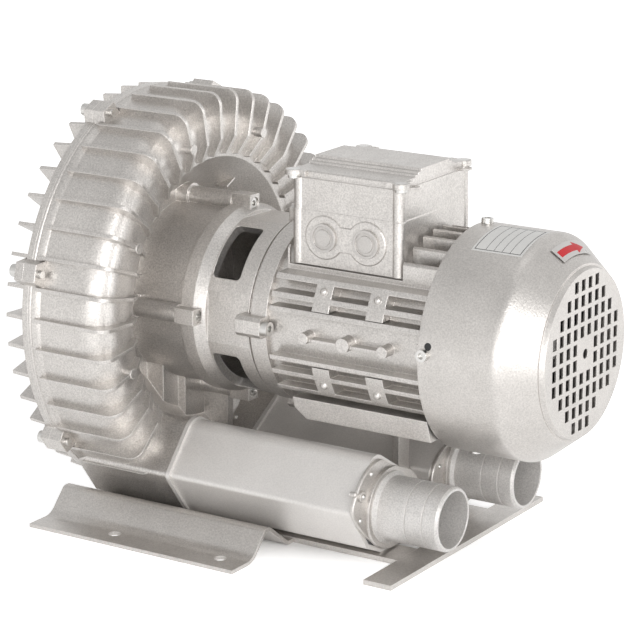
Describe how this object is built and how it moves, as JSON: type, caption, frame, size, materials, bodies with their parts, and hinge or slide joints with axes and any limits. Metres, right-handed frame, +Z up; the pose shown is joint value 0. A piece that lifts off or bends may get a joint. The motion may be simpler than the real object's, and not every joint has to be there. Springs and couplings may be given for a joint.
{
  "type": "side channel blower",
  "caption": "Side channel blower with a finned ring casing, an open lantern, a foot-mounted electric motor, twin silencers with hose barbs and a welded foot frame.",
  "frame": {"origin": "on the floor, at the centre of the four foot holes", "axes": "+X along the motor axis from the ring casing to the fan cowl, +Z up, so the near silencer is on the -Y side"},
  "size_m": [0.417, 0.3364, 0.3314],
  "materials": {
    "painted_casting": "satin metallic paint on a fine cast grain",
    "painted_sheet": "satin metallic paint on smooth sheet",
    "turned_aluminium": "turned, satin",
    "bright_steel": "zinc plated",
    "bearing_steel": "ground and polished",
    "plate_white": "bare printed-label stock",
    "plug_grey": "satin",
    "moulded_black": "moulded, matt",
    "seal_rubber": "matt",
    "foam_grey": "open-cell foam",
    "core_steel": "stacked laminations",
    "copper": "varnished copper wire",
    "stud_brass": "plain"
  },
  "bodies": {
    "blower": {"base_bolts": "bright_steel", "base_strap_far": "painted_sheet", "base_strap_near": "painted_sheet", "cover_screws": "bright_steel", "cowl_screws": "bright_steel", "drive_bearing_outer_ring": "bearing_steel", "drive_end_shield": "painted_casting", "end_plate_far": "painted_casting", "end_plate_near": "painted_casting", "end_plate_screws": "bright_steel", "fan_cowl": "painted_sheet", "foot_rail_far": "painted_sheet", "foot_rail_near": "painted_sheet", "gasket_far": "seal_rubber", "gasket_near": "seal_rubber", "gland_plugs": "plug_grey", "hose_barb_far": "turned_aluminium", "hose_barb_near": "turned_aluminium", "lantern_ring": "painted_casting", "lid_gasket": "seal_rubber", "lid_screws": "bright_steel", "liner_far": "foam_grey", "liner_near": "foam_grey", "motor_frame": "painted_casting", "motor_support": "painted_sheet", "motor_support_screws": "bright_steel", "nameplate": "plate_white", "neck_screws": "bright_steel", "preload_spring": "bright_steel", "rear_bearing_outer_ring": "bearing_steel", "rear_cover": "painted_casting", "rear_cross_bar": "painted_sheet", "rear_end_shield": "painted_casting", "ring_housing": "painted_casting", "shaft_seal": "seal_rubber", "shield_screws": "bright_steel", "silencer_far": "painted_casting", "silencer_near": "painted_casting", "stator_core": "core_steel", "stator_windings": "copper", "terminal_block": "moulded_black", "terminal_box": "painted_casting", "terminal_lid": "painted_casting", "terminal_studs": "stud_brass"},
    "rotor": {"shaft": "bright_steel", "impeller": "turned_aluminium", "impeller_washer": "bright_steel", "impeller_screw": "bright_steel", "impeller_key": "bright_steel", "drive_bearing_inner_ring": "bearing_steel", "rear_bearing_inner_ring": "bearing_steel", "drive_bearing_caged_balls": "bearing_steel", "rear_bearing_caged_balls": "bearing_steel", "rotor_core": "turned_aluminium", "cooling_fan": "moulded_black", "fan_circlip": "bright_steel"}
  },
  "joints": [
    {"name": "rotor_spin", "type": "hinge", "parent": "blower", "child": "rotor", "pos_m": [0, 0, 0.168], "axis": [1, 0, 0], "continuous": true}
  ]
}
